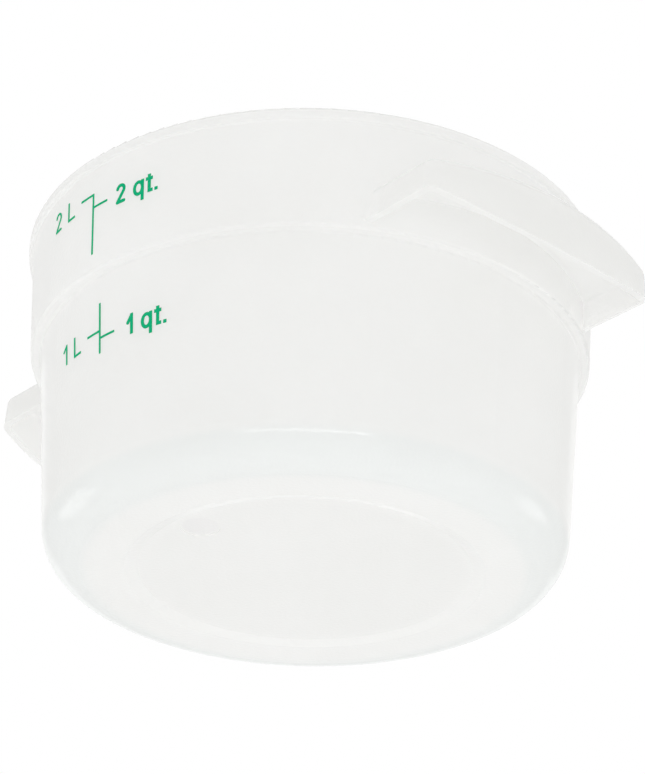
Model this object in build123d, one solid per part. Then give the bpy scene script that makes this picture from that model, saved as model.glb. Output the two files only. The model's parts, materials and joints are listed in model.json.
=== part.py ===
from build123d import *
import math
import os

# Round two quart food storage container: a one-piece moulding with two hooded
# handles on opposite sides, and a volume scale printed on the outside.
# Millimetres, +Z up. The origin is at the centre of the foot, on the surface
# that the container stands on. The handles reach out along X, and the scale
# faces -Y.

# container
height = 109.5
foot_radius = 79.8          # where the lower wall's line meets the floor
wall_flare = 5.3            # how much wider the lower wall is at the shoulder
shoulder_step = 3.2         # out from the lower wall to the upper one
band_height = 39.2          # from the shoulder to the rim
band_flare = 1.7            # how much wider the upper wall is under the bead
bead_reach = 1.4            # how far the rim bead stands out
rim_depth = 3.8
wall = 1.8
corner_radius = 12.2        # between the foot and the lower wall, outside
shoulder_rounding = 0.8
rim_rounding = 0.6

shoulder_height = height - band_height
shoulder_radius = foot_radius + wall_flare
band_foot_radius = shoulder_radius + shoulder_step
band_top_radius = band_foot_radius + band_flare
rim_radius = band_top_radius + bead_reach
ledge_height = shoulder_height + wall

# base
foot_ring = 24.8            # from the lower wall's line in to the recess
recess_rise = 1.0
recess_slope = 4.0
insert_radius = 6.0         # round core-insert mark in the recess
insert_depth = 0.3
insert_inset = 11.7         # from the recess's edge in to the mark's centre
insert_angle = 2.8          # degrees round from -Y

recess_radius = foot_radius - foot_ring
insert_reach = recess_radius - insert_inset

# handles
handle_half_width = 46.9
handle_corner_out = 14.1    # how far the corners stand out from the upper wall's foot
handle_bow = 8.6            # how much further the middle of the edge reaches
handle_rise = 3.0           # from the shoulder up to the side skirts' lower edge
handle_side_depth = 10.0
handle_dip = 7.2            # how much lower the middle of the edge hangs
handle_crown = 3.0          # how much higher the middle of the top stands
handle_corner_rounding = 5.0
handle_top_rounding = 3.0
handle_root_rounding = 3.0
handle_lean = 4.0           # degrees that the skirts lean in, going up

handle_corner_reach = band_foot_radius + handle_corner_out
handle_side_foot = shoulder_height + handle_rise

# printed scale
scale_angle = 0.6           # degrees round from -Y
two_litre_drop = 12.7       # from the rim down to the tick
two_quart_drop = 17.2
one_litre_drop = 18.5       # from the shoulder down to the tick
one_quart_drop = 20.9
ink_thickness = 0.12
line_width = 0.7
litre_tick = 6.1
quart_tick = 6.4
upper_line_rise = 5.8       # from the shoulder to the line's lower end
lower_line_rise = 9.2       # from the one litre tick to the line's upper end
lower_line_drop = 5.0       # from the one quart tick to its lower end
cap_height = 6.7
small_letter_height = 5.2
descender = 1.9
digit_two_width = 3.8
digit_one_width = 2.6
letter_l_width = 4.0
letter_q_width = 4.1
letter_t_width = 2.5
litre_label_gap = 3.6       # from a tick's end to the nearest letter
quart_label_gap = 3.8
litre_word_gap = 4.4
quart_word_gap = 3.0
letter_gap = 0.7
thin_stroke = 0.75
bold_stroke = 1.1


def wall_radius(z):
    """Outside of the lower wall at a height."""
    return foot_radius + (shoulder_radius - foot_radius) * z / shoulder_height


def band_radius(z):
    """Outside of the upper wall at a height."""
    slope = (band_top_radius - band_foot_radius) / (height - rim_depth - shoulder_height)
    return band_foot_radius + slope * (z - shoulder_height)


def inside_radius(z):
    """Inside of the container at a height above its floor."""
    if z > ledge_height:
        return band_radius(z) - wall
    bend = corner_radius - wall
    side = wall_radius(z) - wall
    if z - wall >= bend:
        return side
    return side - bend + math.sqrt(bend**2 - (bend - (z - wall))**2)


def held_litres(z):
    """Litres of water that stand in the container at a height."""
    slices = 2000
    depth = (z - wall) / slices
    areas = [math.pi * inside_radius(wall + (i + 0.5) * depth)**2 for i in range(slices)]
    cubic_mm = sum(areas) * depth - math.pi * recess_radius**2 * recess_rise
    return cubic_mm / 1.0e6


def body_section():
    foot_corner = (foot_radius, 0)
    shoulder_root = (shoulder_radius, shoulder_height)
    shoulder_edge = (band_foot_radius, shoulder_height)
    bead_root = (band_top_radius, height - rim_depth)
    bead_foot = (rim_radius, height - rim_depth)
    rim_top = (rim_radius, height)
    mouth = (band_radius(height) - wall, height)
    ledge_root = (band_radius(ledge_height) - wall, ledge_height)
    ledge_edge = (wall_radius(ledge_height) - wall, ledge_height)
    floor_corner = (wall_radius(wall) - wall, wall)
    outline = [
        (0, recess_rise),
        (recess_radius - recess_slope, recess_rise),
        (recess_radius, 0),
        foot_corner,
        shoulder_root,
        shoulder_edge,
        bead_root,
        bead_foot,
        rim_top,
        mouth,
        ledge_root,
        ledge_edge,
        floor_corner,
        (recess_radius, wall),
        (recess_radius - recess_slope, wall + recess_rise),
        (0, wall + recess_rise),
    ]
    roundings = [
        (foot_corner, corner_radius),
        (floor_corner, corner_radius - wall),
        (shoulder_root, shoulder_rounding),
        (shoulder_edge, shoulder_rounding),
        (ledge_root, shoulder_rounding),
        (ledge_edge, shoulder_rounding),
        (bead_root, rim_rounding),
        (bead_foot, rim_rounding),
        (rim_top, 2 * rim_rounding),
        (mouth, rim_rounding),
    ]
    with BuildSketch(Plane.XZ) as section:
        Polygon(*outline, align=None)
        for point, radius in roundings:
            corner = min(section.vertices(), key=lambda v: math.dist((v.X, v.Y), point))
            fillet(corner, radius)
    return section.sketch


def handle_form(inset):
    """Solid outline of a handle on +X, drawn in all round by an inset."""
    half = handle_half_width - inset
    reach = handle_corner_reach - inset
    foot = handle_side_foot
    top = handle_side_foot + handle_side_depth - inset
    low = foot - handle_dip - inset
    high = top + handle_crown
    with BuildSketch(Plane.XY.offset(low)) as plan:
        with BuildLine():
            Polyline((reach, half), (0, half), (0, -half), (reach, -half))
            ThreePointArc((reach, -half), (reach + handle_bow, 0), (reach, half))
        make_face()
        tips = plan.vertices().sort_by(Axis.X)[-2:]
        fillet(tips, handle_corner_rounding - inset)
    block = extrude(plan.sketch, high - low + wall, taper=handle_lean)
    with BuildSketch(Plane.YZ) as front:
        with BuildLine():
            Line((-half, foot), (-half, top))
            ThreePointArc((-half, top), (0, high), (half, top))
            Line((half, top), (half, foot))
            if inset:
                Polyline((half, foot), (half, low), (-half, low), (-half, foot))
            else:
                ThreePointArc((half, foot), (0, foot - handle_dip), (-half, foot))
        make_face()
    form = block & extrude(front.sketch, handle_corner_reach + 2 * handle_bow)
    crown = form.faces().sort_by(Axis.Z)[-1]
    tops = [edge for edge in crown.edges() if edge.center().X > wall]
    return fillet(tops, handle_top_rounding - inset)


def handle():
    """One hollow handle on +X, open beneath, cut to the container's side."""
    shell = handle_form(0) - handle_form(wall)
    low = handle_side_foot - handle_dip - wall
    high = handle_side_foot + handle_side_depth + handle_crown + wall
    side = Cone(
        band_radius(low) - wall / 2,
        band_radius(high) - wall / 2,
        high - low,
        align=(Align.CENTER, Align.CENTER, Align.MIN),
    )
    return shell - Pos(0, 0, low) * side


def container():
    """The moulding: body, two handles and the insert mark under the base."""
    right = handle()
    body = revolve(body_section(), Axis.Z) + right + Rot(0, 0, 180) * right
    roots = [edge for edge in body.edges() if is_handle_root(edge)]
    body = fillet(roots, handle_root_rounding)
    place = Rot(0, 0, insert_angle) * Pos(0, -insert_reach, recess_rise)
    return body - place * Cylinder(insert_radius, 2 * insert_depth)


def is_handle_root(edge):
    """Whether an edge is where a handle's side skirt meets the upper wall."""
    middle = edge.center()
    beside = abs(abs(middle.Y) - handle_half_width) < wall
    skirt = handle_side_foot < middle.Z < handle_side_foot + handle_side_depth
    upright = abs((edge @ 1 - edge @ 0).Z) > handle_side_depth / 3
    near_wall = math.hypot(middle.X, middle.Y) < band_radius(middle.Z) + wall
    return beside and skirt and upright and near_wall


def ink_shell(radius_at, low, high):
    """Film of ink all round a wall, between two heights."""
    with BuildSketch(Plane.XZ) as section:
        Polygon(
            (radius_at(low), low),
            (radius_at(low) + ink_thickness, low),
            (radius_at(high) + ink_thickness, high),
            (radius_at(high), high),
            align=None,
        )
    return revolve(section.sketch, Axis.Z)


def bar(left, right, low, high):
    """Flat rectangle between two places along the wall and two heights."""
    return Pos((left + right) / 2, (low + high) / 2) * Rectangle(right - left, high - low)


def stroke(path, width):
    """Pen stroke with round ends along a path."""
    return make_face(offset(path, width / 2, side=Side.BOTH))


def digit_one(pen):
    stem = digit_one_width - pen
    flag = cap_height - 2 * pen
    return bar(stem, digit_one_width, 0, cap_height) + stroke(
        Wire([Line((pen / 2, flag - pen / 2), (stem + pen / 2, cap_height - pen / 2))]), pen
    )


def digit_two(pen):
    bend = (digit_two_width - pen) / 2
    middle = (digit_two_width / 2, cap_height - pen / 2 - bend)
    bow = CenterArc(middle, bend, 165, -200)
    tail = Line(bow @ 1, (pen / 2, pen / 2))
    base = Line(tail @ 1, (digit_two_width - pen / 2, pen / 2))
    return stroke(Wire([bow, tail, base]), pen)


def letter_l(pen):
    return bar(0, pen, 0, cap_height) + bar(0, letter_l_width, 0, pen)


def letter_q(pen):
    across = letter_q_width / 2
    up = small_letter_height / 2
    middle = Pos(across, up)
    bowl = middle * Ellipse(across, up) - middle * Ellipse(across - pen, up - pen)
    stem = bar(letter_q_width - pen, letter_q_width, -descender, small_letter_height)
    return bowl + stem


def letter_t(pen):
    left = (letter_t_width - pen) / 2
    stem = bar(left, left + pen, 0, cap_height - pen / 2)
    cross = bar(0, letter_t_width, small_letter_height - pen, small_letter_height)
    foot = bar(left, letter_t_width, 0, pen)
    return stem + cross + foot


def full_stop(pen):
    return bar(0, pen, 0, pen)


def print_on(shape, along, height_up, radius_at):
    """Print a flat shape on the wall, at a place round from the scale line."""
    radius = radius_at(height_up)
    box = shape.bounding_box()
    centre = box.center().X
    turn = scale_angle + math.degrees((along + centre) / radius)
    plane = Plane(
        origin=(0, 0, height_up),
        x_dir=(1, 0, 0),
        z_dir=(0, -1, 0),
    )
    prism = extrude(plane * (Pos(-centre, 0) * shape), rim_radius + wall)
    low = height_up + box.min.Y - ink_thickness
    high = height_up + box.max.Y + ink_thickness
    film = ink_shell(radius_at, low, high)
    return Rot(0, 0, turn) * (prism & film)


def scale_row(word, digit, digit_width, levels, line_ends, radius_at):
    """One line of the scale: its ticks, and its litre and quart labels."""
    litres_up, quarts_up = levels
    foot, top = line_ends
    half_line = line_width / 2
    ticks = bar(-half_line, half_line, foot, top)
    ticks += bar(-litre_tick, 0, litres_up - half_line, litres_up + half_line)
    ticks += bar(0, quart_tick, quarts_up - half_line, quarts_up + half_line)
    marks = {f"{word}_scale_line": print_on(Pos(0, -foot) * ticks, 0, foot, radius_at)}

    letter_at = -litre_tick - litre_label_gap - letter_l_width
    digit_at = letter_at - litre_word_gap - digit_width
    base = litres_up - cap_height / 2
    marks[f"{word}_litre_digit"] = print_on(digit(thin_stroke), digit_at, base, radius_at)
    marks[f"{word}_litre_letter"] = print_on(letter_l(thin_stroke), letter_at, base, radius_at)

    base = quarts_up - cap_height / 2
    along = quart_tick + quart_label_gap + digit_two_width - digit_width
    marks[f"{word}_quart_digit"] = print_on(digit(bold_stroke), along, base, radius_at)
    along += digit_width + quart_word_gap
    letters = [
        ("q", letter_q, letter_q_width),
        ("t", letter_t, letter_t_width),
        ("stop", full_stop, bold_stroke),
    ]
    for name, letter, width in letters:
        marks[f"{word}_quart_{name}"] = print_on(letter(bold_stroke), along, base, radius_at)
        along += width + letter_gap
    return marks


def volume_marks():
    """Every separate mark of the scale, by name."""
    two = (height - two_litre_drop, height - two_quart_drop)
    two_line = (shoulder_height + upper_line_rise, two[0] + line_width / 2)
    one = (shoulder_height - one_litre_drop, shoulder_height - one_quart_drop)
    one_line = (one[1] - lower_line_drop, one[0] + lower_line_rise)
    for level in two + one:
        print(f"the mark at {level:.1f} mm holds {held_litres(level):.3f} litres")
    return scale_row("two", digit_two, digit_two_width, two, two_line, band_radius) | scale_row(
        "one", digit_one, digit_one_width, one, one_line, wall_radius
    )


def main():
    os.makedirs("parts", exist_ok=True)
    pieces = {"container": container()} | volume_marks()
    for name, piece in pieces.items():
        export_step(piece, f"parts/{name}.step")


main()
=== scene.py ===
import json
import math

import bpy
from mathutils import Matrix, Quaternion, Vector


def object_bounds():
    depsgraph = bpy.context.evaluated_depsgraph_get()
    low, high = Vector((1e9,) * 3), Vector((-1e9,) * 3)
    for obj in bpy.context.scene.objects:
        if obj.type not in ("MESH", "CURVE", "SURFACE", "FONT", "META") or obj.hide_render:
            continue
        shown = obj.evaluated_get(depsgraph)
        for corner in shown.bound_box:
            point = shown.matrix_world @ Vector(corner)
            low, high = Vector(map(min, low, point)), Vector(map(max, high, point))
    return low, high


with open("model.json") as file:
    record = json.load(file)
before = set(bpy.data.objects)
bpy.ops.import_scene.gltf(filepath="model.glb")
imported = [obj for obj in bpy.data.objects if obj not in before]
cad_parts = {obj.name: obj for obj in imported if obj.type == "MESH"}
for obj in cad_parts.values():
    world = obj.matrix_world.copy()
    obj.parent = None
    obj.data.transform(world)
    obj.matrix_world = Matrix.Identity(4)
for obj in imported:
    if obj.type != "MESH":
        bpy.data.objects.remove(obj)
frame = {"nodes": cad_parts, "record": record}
cadLow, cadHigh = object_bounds()
print("frame loaded:", len(frame["nodes"]), "nodes")

noise = {"low": 0.3, "high": 0.7, "detail": 3.0}  # the part of the noise that is used


def newMaterial(name):
    # an empty node material with its output ready
    material = bpy.data.materials.new(name)
    material.use_nodes = True
    nodes = material.node_tree.nodes
    nodes.clear()
    out = nodes.new("ShaderNodeOutputMaterial")
    return material, nodes, material.node_tree.links, out


def noiseBand(nodes, links, coords, scale, low, high, detail=noise["detail"]):
    # object-space noise remapped between two values
    texture = nodes.new("ShaderNodeTexNoise")
    texture.inputs["Scale"].default_value = scale
    texture.inputs["Detail"].default_value = detail
    remap = nodes.new("ShaderNodeMapRange")
    remap.inputs["From Min"].default_value = noise["low"]
    remap.inputs["From Max"].default_value = noise["high"]
    remap.inputs["To Min"].default_value = low
    remap.inputs["To Max"].default_value = high
    links.new(coords.outputs["Object"], texture.inputs["Vector"])
    links.new(texture.outputs["Fac"], remap.inputs["Value"])
    return remap.outputs["Result"]


def ramp(nodes, links, value, start, end):
    # smooth step from off at the start to on at the end
    node = nodes.new("ShaderNodeMapRange")
    node.interpolation_type = "SMOOTHSTEP"
    node.inputs["From Min"].default_value = start
    node.inputs["From Max"].default_value = end
    links.new(value, node.inputs["Value"])
    return node.outputs["Result"]


def mathNode(nodes, links, operation, first, second):
    # arithmetic on two values, each a number or another node's output
    node = nodes.new("ShaderNodeMath")
    node.operation = operation
    for socket, value in zip(node.inputs, (first, second)):
        if isinstance(value, (int, float)):
            socket.default_value = value
        else:
            links.new(value, socket)
    return node.outputs["Value"]


def heightAndReach(nodes, links, coords):
    # height over the foot, distance out from the middle, and the way out
    axes = nodes.new("ShaderNodeSeparateXYZ")
    links.new(coords.outputs["Object"], axes.inputs["Vector"])
    wayOut = nodes.new("ShaderNodeVectorMath")
    wayOut.operation = "MULTIPLY"
    wayOut.inputs[1].default_value = (1, 1, 0)
    links.new(coords.outputs["Object"], wayOut.inputs[0])
    reach = nodes.new("ShaderNodeVectorMath")
    reach.operation = "LENGTH"
    links.new(wayOut.outputs["Vector"], reach.inputs[0])
    return axes.outputs["Z"], reach.outputs["Value"], wayOut.outputs["Vector"]


def blended(nodes, links, first, second, factor):
    # two fixed colours mixed by a factor
    mix = nodes.new("ShaderNodeMix")
    mix.data_type = "RGBA"
    mix.inputs["A"].default_value = first
    mix.inputs["B"].default_value = second
    links.new(factor, mix.inputs["Factor"])
    return mix.outputs["Result"]


def tinted(nodes, links, colour, tint, mask):
    # a colour multiplied by a tint where a mask is on
    mix = nodes.new("ShaderNodeMix")
    mix.data_type = "RGBA"
    mix.blend_type = "MULTIPLY"
    mix.inputs["B"].default_value = tint
    links.new(colour, mix.inputs["A"])
    links.new(mask, mix.inputs["Factor"])
    return mix.outputs["Result"]


# milky translucent polypropylene with a fine satin mould finish and painted shade on its corner, base
# and handle skirts, in metres
plastic = {
    "clear": (0.990, 0.990, 0.987, 1),
    "milky": (0.978, 0.978, 0.973, 1),
    # painted shade: a cooler, darker band low round the base corner
    "cornerPaintedShade": (0.968, 0.980, 0.982, 1),
    "corner": {"top": 0.0105, "foot": 0.0075, "inner": 0.065, "outer": 0.0695},
    # painted shade: the middle of the base a little darker
    "basePaintedShade": (0.979, 0.979, 0.978, 1),
    "base": {"top": 0.0035, "foot": 0.0020, "inner": 0.046, "outer": 0.054},
    # painted shade: the outward faces of the handle skirts a little darker
    "skirtPaintedShade": (0.976, 0.976, 0.974, 1),
    "skirt": {"inner": 0.0918, "outer": 0.0940, "facing": 0.1},
    "insertTint": (0.980, 0.976, 0.982, 1),
    "insert": {"angle": 2.8, "reach": 0.0433, "inner": 0.0052, "outer": 0.0060},
    "scuffs": {"height": 0.0006, "scale": 900, "rough": 0.05, "detail": 8.0},
    "grain": {"scale": 900, "depth": 0.00002},
    "wave": {"scale": 22, "depth": 0.0001, "detail": 1.0},
    "satin": {"scale": 60, "low": 0.09, "high": 0.13},
    "subsurface": {"weight": 0.3, "depth": 0.012, "spread": (1.0, 0.97, 0.92)},
    "transmission": 0.1,
    "translucent": 0.55,
    "ior": 1.49,
    "gloss": (1, 1, 1, 1),
    "edgeShine": 0.22,
}


def plasticMasks(nodes, links, coords, height, reach, wayOut, geometry):
    # where each painted shade and the insert mark's tint lie, by name
    corner = plastic["corner"]  # painted shade, a cooler darker band where the floor turns up into the wall
    lowDown = ramp(nodes, links, height, corner["top"], corner["foot"])
    farOut = ramp(nodes, links, reach, corner["inner"], corner["outer"])

    base = plastic["base"]  # painted shade on the middle of the base, inside its foot ring
    underneath = ramp(nodes, links, height, base["top"], base["foot"])
    wellIn = ramp(nodes, links, reach, base["outer"], base["inner"])

    skirt = plastic["skirt"]  # painted shade on the handles' skirts, on their outward faces
    onHandle = ramp(nodes, links, reach, skirt["inner"], skirt["outer"])
    outward = nodes.new("ShaderNodeVectorMath")
    outward.operation = "DOT_PRODUCT"
    links.new(geometry.outputs["Normal"], outward.inputs[0])
    links.new(wayOut, outward.inputs[1])
    facing = mathNode(nodes, links, "DIVIDE", outward.outputs["Value"], reach)
    outerFace = ramp(nodes, links, facing, 0, skirt["facing"])

    insert = plastic["insert"]  # the round mark of the mould's insert
    turn = math.radians(insert["angle"])
    away = nodes.new("ShaderNodeVectorMath")
    away.operation = "DISTANCE"
    away.inputs[1].default_value = Vector((math.sin(turn), -math.cos(turn), 0)) * insert["reach"]
    links.new(coords.outputs["Object"], away.inputs[0])
    return {
        "cornerPaintedShade": mathNode(nodes, links, "MULTIPLY", lowDown, farOut),
        "basePaintedShade": mathNode(nodes, links, "MULTIPLY", underneath, wellIn),
        "skirtPaintedShade": mathNode(nodes, links, "MULTIPLY", onHandle, outerFace),
        "insertTint": ramp(nodes, links, away.outputs["Value"], insert["outer"], insert["inner"]),
    }


def plasticRoughness(nodes, links, coords, height):
    # a satin finish, a little rougher on the foot where shelves scuff it
    scuffs = plastic["scuffs"]
    onFoot = ramp(nodes, links, height, scuffs["height"], 0)
    marks = noiseBand(nodes, links, coords, scuffs["scale"], 0, scuffs["rough"], scuffs["detail"])
    scuffed = mathNode(nodes, links, "MULTIPLY", onFoot, marks)
    satin = plastic["satin"]
    finish = noiseBand(nodes, links, coords, satin["scale"], satin["low"], satin["high"])
    return mathNode(nodes, links, "ADD", finish, scuffed)


def plasticRelief(nodes, links, coords):
    # mould grain under the slow wave of a moulded wall
    grain = nodes.new("ShaderNodeBump")
    grain.inputs["Distance"].default_value = plastic["grain"]["depth"]
    grainHeight = noiseBand(nodes, links, coords, plastic["grain"]["scale"], 0, 1)
    links.new(grainHeight, grain.inputs["Height"])
    wave = nodes.new("ShaderNodeBump")
    wave.inputs["Distance"].default_value = plastic["wave"]["depth"]
    waveDetail = plastic["wave"]["detail"]
    waveHeight = noiseBand(nodes, links, coords, plastic["wave"]["scale"], 0, 1, waveDetail)
    links.new(waveHeight, wave.inputs["Height"])
    links.new(grain.outputs["Normal"], wave.inputs["Normal"])
    return wave.outputs["Normal"]


def makePlastic():
    material, nodes, links, out = newMaterial("polypropylene")
    coords = nodes.new("ShaderNodeTexCoord")
    geometry = nodes.new("ShaderNodeNewGeometry")
    height, reach, wayOut = heightAndReach(nodes, links, coords)
    cloud = noiseBand(nodes, links, coords, plastic["wave"]["scale"], 0, 1)
    colour = blended(nodes, links, plastic["milky"], plastic["clear"], cloud)
    masks = plasticMasks(nodes, links, coords, height, reach, wayOut, geometry)
    # lays the painted shade on the corner, base and skirts, and the insert mark's tint
    for name, mask in masks.items():
        colour = tinted(nodes, links, colour, plastic[name], mask)
    rough = plasticRoughness(nodes, links, coords, height)
    relief = plasticRelief(nodes, links, coords)

    # the body lets light through and scatters it
    scatter = nodes.new("ShaderNodeBsdfPrincipled")
    scatter.inputs["Subsurface Weight"].default_value = plastic["subsurface"]["weight"]
    scatter.inputs["Subsurface Radius"].default_value = plastic["subsurface"]["spread"]
    scatter.inputs["Subsurface Scale"].default_value = plastic["subsurface"]["depth"]
    scatter.inputs["Specular IOR Level"].default_value = 0
    scatter.inputs["Transmission Weight"].default_value = plastic["transmission"]
    scatter.inputs["IOR"].default_value = plastic["ior"]
    links.new(colour, scatter.inputs["Base Color"])
    links.new(rough, scatter.inputs["Roughness"])
    through = nodes.new("ShaderNodeBsdfTranslucent")
    links.new(colour, through.inputs["Color"])
    body = nodes.new("ShaderNodeMixShader")
    body.inputs["Fac"].default_value = plastic["translucent"]
    links.new(scatter.outputs["BSDF"], body.inputs[1])
    links.new(through.outputs["BSDF"], body.inputs[2])

    # a gloss over it on outer faces, stronger to the edges up to a cap
    gloss = nodes.new("ShaderNodeBsdfAnisotropic")
    gloss.inputs["Color"].default_value = plastic["gloss"]
    links.new(rough, gloss.inputs["Roughness"])
    edge = nodes.new("ShaderNodeFresnel")
    edge.inputs["IOR"].default_value = plastic["ior"]
    outside = mathNode(nodes, links, "SUBTRACT", 1, geometry.outputs["Backfacing"])
    glint = mathNode(nodes, links, "MINIMUM", edge.outputs["Fac"], plastic["edgeShine"])
    shine = mathNode(nodes, links, "MULTIPLY", glint, outside)
    for node in (scatter, through, gloss, edge):
        links.new(relief, node.inputs["Normal"])
    skin = nodes.new("ShaderNodeMixShader")
    links.new(shine, skin.inputs["Fac"])
    links.new(body.outputs["Shader"], skin.inputs[1])
    links.new(gloss.outputs["BSDF"], skin.inputs[2])
    links.new(skin.outputs["Shader"], out.inputs["Surface"])
    return material


# matt green ink, a little thin where the print lies on the grain
ink = {
    "full": (0.0, 0.40, 0.172, 1),
    "thin": (0.01, 0.45, 0.21, 1),
    "speckleScale": 1400,
    "roughness": 0.6,
    "shine": 0.05,
}


def makeInk():
    material, nodes, links, out = newMaterial("scaleInk")
    coords = nodes.new("ShaderNodeTexCoord")
    speckle = noiseBand(nodes, links, coords, ink["speckleScale"], 0, 1)
    matt = nodes.new("ShaderNodeBsdfPrincipled")
    matt.inputs["Roughness"].default_value = ink["roughness"]
    matt.inputs["Specular IOR Level"].default_value = ink["shine"]
    colour = blended(nodes, links, ink["full"], ink["thin"], speckle)
    links.new(colour, matt.inputs["Base Color"])
    links.new(matt.outputs["BSDF"], out.inputs["Surface"])
    return material


materials = {"polypropylene": makePlastic(), "scale_ink": makeInk()}
for subpart in frame["record"]["subparts"]:
    piece = frame["nodes"][subpart["node"]]
    for place in piece.material_slots:
        place.material = materials[subpart["material_slot"]]
    for face in piece.data.polygons:
        face.use_smooth = True
print("materials on")

floor = {"size": 6.0, "gap": 0.0002, "tone": (0.80, 0.80, 0.79, 1), "roughness": 0.6}


def makeFloorMaterial():
    # pale from above and clear from below
    material, nodes, links, out = newMaterial("paleFloor")
    geometry = nodes.new("ShaderNodeNewGeometry")
    top = nodes.new("ShaderNodeBsdfPrincipled")
    top.inputs["Base Color"].default_value = floor["tone"]
    top.inputs["Roughness"].default_value = floor["roughness"]
    under = nodes.new("ShaderNodeBsdfTransparent")
    sides = nodes.new("ShaderNodeMixShader")
    links.new(geometry.outputs["Backfacing"], sides.inputs["Fac"])
    links.new(top.outputs["BSDF"], sides.inputs[1])
    links.new(under.outputs["BSDF"], sides.inputs[2])
    links.new(sides.outputs["Shader"], out.inputs["Surface"])
    return material


def makeFloor():
    half = floor["size"] / 2
    level = cadLow.z - floor["gap"]
    mesh = bpy.data.meshes.new("floor")
    corners = [(-half, -half, level), (half, -half, level), (half, half, level), (-half, half, level)]
    mesh.from_pydata(corners, [], [(0, 1, 2, 3)])
    mesh.materials.append(makeFloorMaterial())
    piece = bpy.data.objects.new("floor", mesh)
    bpy.context.collection.objects.link(piece)
    for kind in ("diffuse", "glossy", "transmission", "shadow"):
        setattr(piece, "visible_" + kind, False)  # it never shades the underside


makeFloor()
print("floor laid")

# the camera looks up at the container from below, to the right of its scale
shot = {
    "azimuth": 48.7,
    "elevation": -28.11,
    "distance": 0.837,
    "aimRight": 0.00405,
    "aimUp": 0.0095,
    "tilt": 1.35,
    "lens": 123.9,
    "near": 0.01,
}


def wayFrom(azimuth, elevation):
    # unit vector from the container to a place round and up from its front
    turn = math.radians(azimuth)
    rise = math.radians(elevation)
    return Vector((math.sin(turn) * math.cos(rise), -math.cos(turn) * math.cos(rise), math.sin(rise)))


def makeCamera():
    back = wayFrom(shot["azimuth"], shot["elevation"])
    right = wayFrom(shot["azimuth"] + 90, 0)
    up = back.cross(right)
    middle = (cadLow + cadHigh) / 2
    eye = middle + back * shot["distance"]
    aim = middle + right * shot["aimRight"] + up * shot["aimUp"]
    data = bpy.data.cameras.new("camera")
    data.lens = shot["lens"]
    data.clip_start = shot["near"]
    camera = bpy.data.objects.new("camera", data)
    camera.location = eye
    camera.rotation_mode = "QUATERNION"
    roll = Quaternion((0, 0, 1), math.radians(shot["tilt"]))
    camera.rotation_quaternion = (aim - eye).to_track_quat("-Z", "Y") @ roll
    bpy.context.collection.objects.link(camera)
    bpy.context.scene.camera = camera


makeCamera()

# soft studio light: a white box turned to the camera, one strength for each of its sides
studio = {
    "backdrop": 1.0,
    "white": (1, 1, 1, 1),
    "tint": (1.0, 1.0, 0.992, 1),
    "sides": {"X": (0.85, 0.845), "Y": (0.81, 0.77), "Z": (1.16, 0.9)},
    "lampAway": 1.5,
    "lamps": {
        "far": {"turn": 180, "rise": 14, "size": (1.6, 1.0), "power": 1.9},
        "front": {"turn": 0, "rise": -12, "size": (1.5, 0.12), "power": 2.0},
        "leftBack": {"turn": -118, "rise": -18, "size": (0.6, 0.6), "power": 0.9},
        "rightBack": {"turn": 114, "rise": -18, "size": (0.45, 0.5), "power": 0.6},
    },
    "bounces": {"diffuse_bounces": 10, "transmission_bounces": 16, "max_bounces": 20},
}


def sideStrengths(nodes, links):
    # left and right, front and back, under and over, blended by direction
    coords = nodes.new("ShaderNodeTexCoord")
    turned = nodes.new("ShaderNodeVectorRotate")
    turned.rotation_type = "Z_AXIS"
    turned.inputs["Angle"].default_value = -math.radians(shot["azimuth"])
    links.new(coords.outputs["Generated"], turned.inputs["Vector"])
    axes = nodes.new("ShaderNodeSeparateXYZ")
    links.new(turned.outputs["Vector"], axes.inputs["Vector"])
    strength = 0
    for axis, (low, high) in studio["sides"].items():
        along = axes.outputs[axis]
        side = mathNode(nodes, links, "GREATER_THAN", along, 0)
        step = mathNode(nodes, links, "MULTIPLY", side, high - low)
        level = mathNode(nodes, links, "ADD", step, low)
        share = mathNode(nodes, links, "MULTIPLY", along, along)
        part = mathNode(nodes, links, "MULTIPLY", level, share)
        strength = mathNode(nodes, links, "ADD", part, strength)
    return strength


def makeSurround():
    # the box lights the container, and the camera sees a clean white backdrop
    world = bpy.data.worlds.new("surround")
    bpy.context.scene.world = world
    world.use_nodes = True
    nodes = world.node_tree.nodes
    links = world.node_tree.links
    nodes.clear()
    light = nodes.new("ShaderNodeBackground")
    light.inputs["Color"].default_value = studio["tint"]
    links.new(sideStrengths(nodes, links), light.inputs["Strength"])
    backdrop = nodes.new("ShaderNodeBackground")
    backdrop.inputs["Color"].default_value = studio["white"]
    backdrop.inputs["Strength"].default_value = studio["backdrop"]
    path = nodes.new("ShaderNodeLightPath")
    choose = nodes.new("ShaderNodeMixShader")
    out = nodes.new("ShaderNodeOutputWorld")
    links.new(path.outputs["Is Camera Ray"], choose.inputs["Fac"])
    links.new(light.outputs["Background"], choose.inputs[1])
    links.new(backdrop.outputs["Background"], choose.inputs[2])
    links.new(choose.outputs["Shader"], out.inputs["Surface"])


def makeLamp(name, lamp):
    # a flat soft lamp that faces the container, placed round from the camera and up
    out = wayFrom(shot["azimuth"] + lamp["turn"], lamp["rise"])
    data = bpy.data.lights.new(name, "AREA")
    data.shape = "RECTANGLE"
    data.size, data.size_y = lamp["size"]
    data.energy = lamp["power"]
    piece = bpy.data.objects.new(name, data)
    piece.location = out * studio["lampAway"]
    piece.rotation_mode = "QUATERNION"
    piece.rotation_quaternion = out.to_track_quat("Z", "Y")
    piece.visible_camera = False
    bpy.context.collection.objects.link(piece)


makeSurround()
for name, lamp in studio["lamps"].items():
    makeLamp(name, lamp)
for kind, count in studio["bounces"].items():
    setattr(bpy.context.scene.cycles, kind, count)
bpy.context.scene.view_settings.view_transform = "Standard"
print("camera and light ready")
